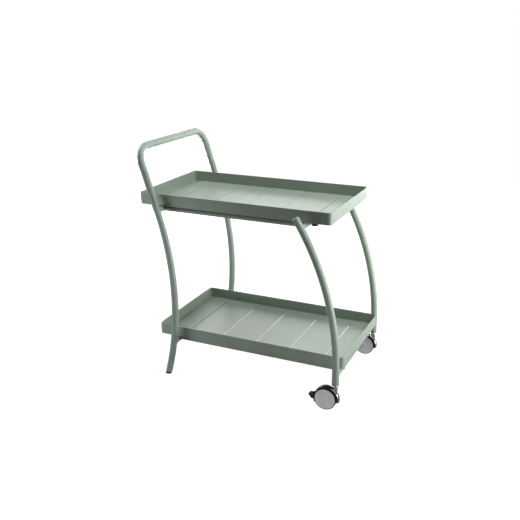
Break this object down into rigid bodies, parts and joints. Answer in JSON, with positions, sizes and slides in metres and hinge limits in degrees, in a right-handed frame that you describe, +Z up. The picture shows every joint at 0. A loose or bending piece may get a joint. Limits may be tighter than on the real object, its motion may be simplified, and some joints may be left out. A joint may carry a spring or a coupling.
{
  "type": "service trolley",
  "caption": "Two-tier service trolley in powder-coated tube, with a bent-tube push handle, rectangular slotted sheet trays, foot glides and braked casters.",
  "frame": {"origin": "on the floor, under the middle of the overall length and width", "axes": "+Z up, +X towards the casters, +Y to the left side; the push handle is at the -X end"},
  "size_m": [0.8, 0.5, 0.88],
  "materials": {
    "sage_powder_coat": "fine satin powder coat in sage green on aluminium",
    "sage_plastic_cap": "moulded plastic cap in the colour of the frame",
    "black_plastic": "black moulded nylon, fine grain",
    "black_rubber": "soft black rubber, matt",
    "black_tread": "smooth black elastomer tread",
    "grey_wheel_plastic": "light grey moulded nylon",
    "bright_chrome": "bright plated die casting",
    "zinc_steel": "zinc-plated steel"
  },
  "bodies": {
    "root": {"handle_frame": "sage_powder_coat", "right_front_leg": "sage_powder_coat", "right_leg_top_cap": "sage_plastic_cap", "right_foot_glide": "black_plastic", "right_stem_socket": "black_plastic", "right_caster_stem": "zinc_steel", "right_side_rail": "sage_powder_coat", "right_lower_side_rail": "sage_powder_coat", "left_front_leg": "sage_powder_coat", "left_leg_top_cap": "sage_plastic_cap", "left_foot_glide": "black_plastic", "left_stem_socket": "black_plastic", "left_caster_stem": "zinc_steel", "left_side_rail": "sage_powder_coat", "left_lower_side_rail": "sage_powder_coat", "upper_rear_crossbar": "sage_powder_coat", "upper_front_crossbar": "sage_powder_coat", "lower_rear_crossbar": "sage_powder_coat", "lower_front_crossbar": "sage_powder_coat", "lower_tray": "sage_powder_coat", "lower_tray_studs": "zinc_steel", "lower_tray_nuts": "zinc_steel"},
    "upper_tray": {"upper_tray": "sage_powder_coat", "upper_tray_feet": "black_rubber", "upper_tray_foot_studs": "zinc_steel"},
    "right_caster": {"right_caster_bracket": "bright_chrome", "right_caster_hood": "black_plastic", "right_brake_pin": "zinc_steel"},
    "right_wheelset": {"right_wheel_axle": "zinc_steel", "right_wheel_discs": "grey_wheel_plastic", "right_tyres": "black_tread"},
    "right_brake": {"right_brake_pedal": "black_plastic"},
    "left_caster": {"left_caster_bracket": "bright_chrome", "left_caster_hood": "black_plastic", "left_brake_pin": "zinc_steel"},
    "left_wheelset": {"left_wheel_axle": "zinc_steel", "left_wheel_discs": "grey_wheel_plastic", "left_tyres": "black_tread"},
    "left_brake": {"left_brake_pedal": "black_plastic"}
  },
  "joints": [
    {"name": "upper_tray_lift", "type": "slide", "parent": "root", "child": "upper_tray", "axis": [0, 0, 1], "range_m": [0, 0.13]},
    {"name": "right_caster_swivel", "type": "hinge", "parent": "root", "child": "right_caster", "pos_m": [0.3825, -0.2375, 0.09], "axis": [0, 0, 1], "continuous": true},
    {"name": "right_wheel_spin", "type": "hinge", "parent": "right_caster", "child": "right_wheelset", "pos_m": [0.3495, -0.2375, 0.04], "axis": [0, 1, 0], "continuous": true},
    {"name": "right_brake_press", "type": "hinge", "parent": "right_caster", "child": "right_brake", "pos_m": [0.30296, -0.2375, 0.04654], "axis": [0, -1, 0], "range_deg": [0, 8]},
    {"name": "left_caster_swivel", "type": "hinge", "parent": "root", "child": "left_caster", "pos_m": [0.3825, 0.2375, 0.09], "axis": [0, 0, 1], "continuous": true},
    {"name": "left_wheel_spin", "type": "hinge", "parent": "left_caster", "child": "left_wheelset", "pos_m": [0.3495, 0.2375, 0.04], "axis": [0, 1, 0], "continuous": true},
    {"name": "left_brake_press", "type": "hinge", "parent": "left_caster", "child": "left_brake", "pos_m": [0.30296, 0.2375, 0.04654], "axis": [0, -1, 0], "range_deg": [0, 8]}
  ]
}
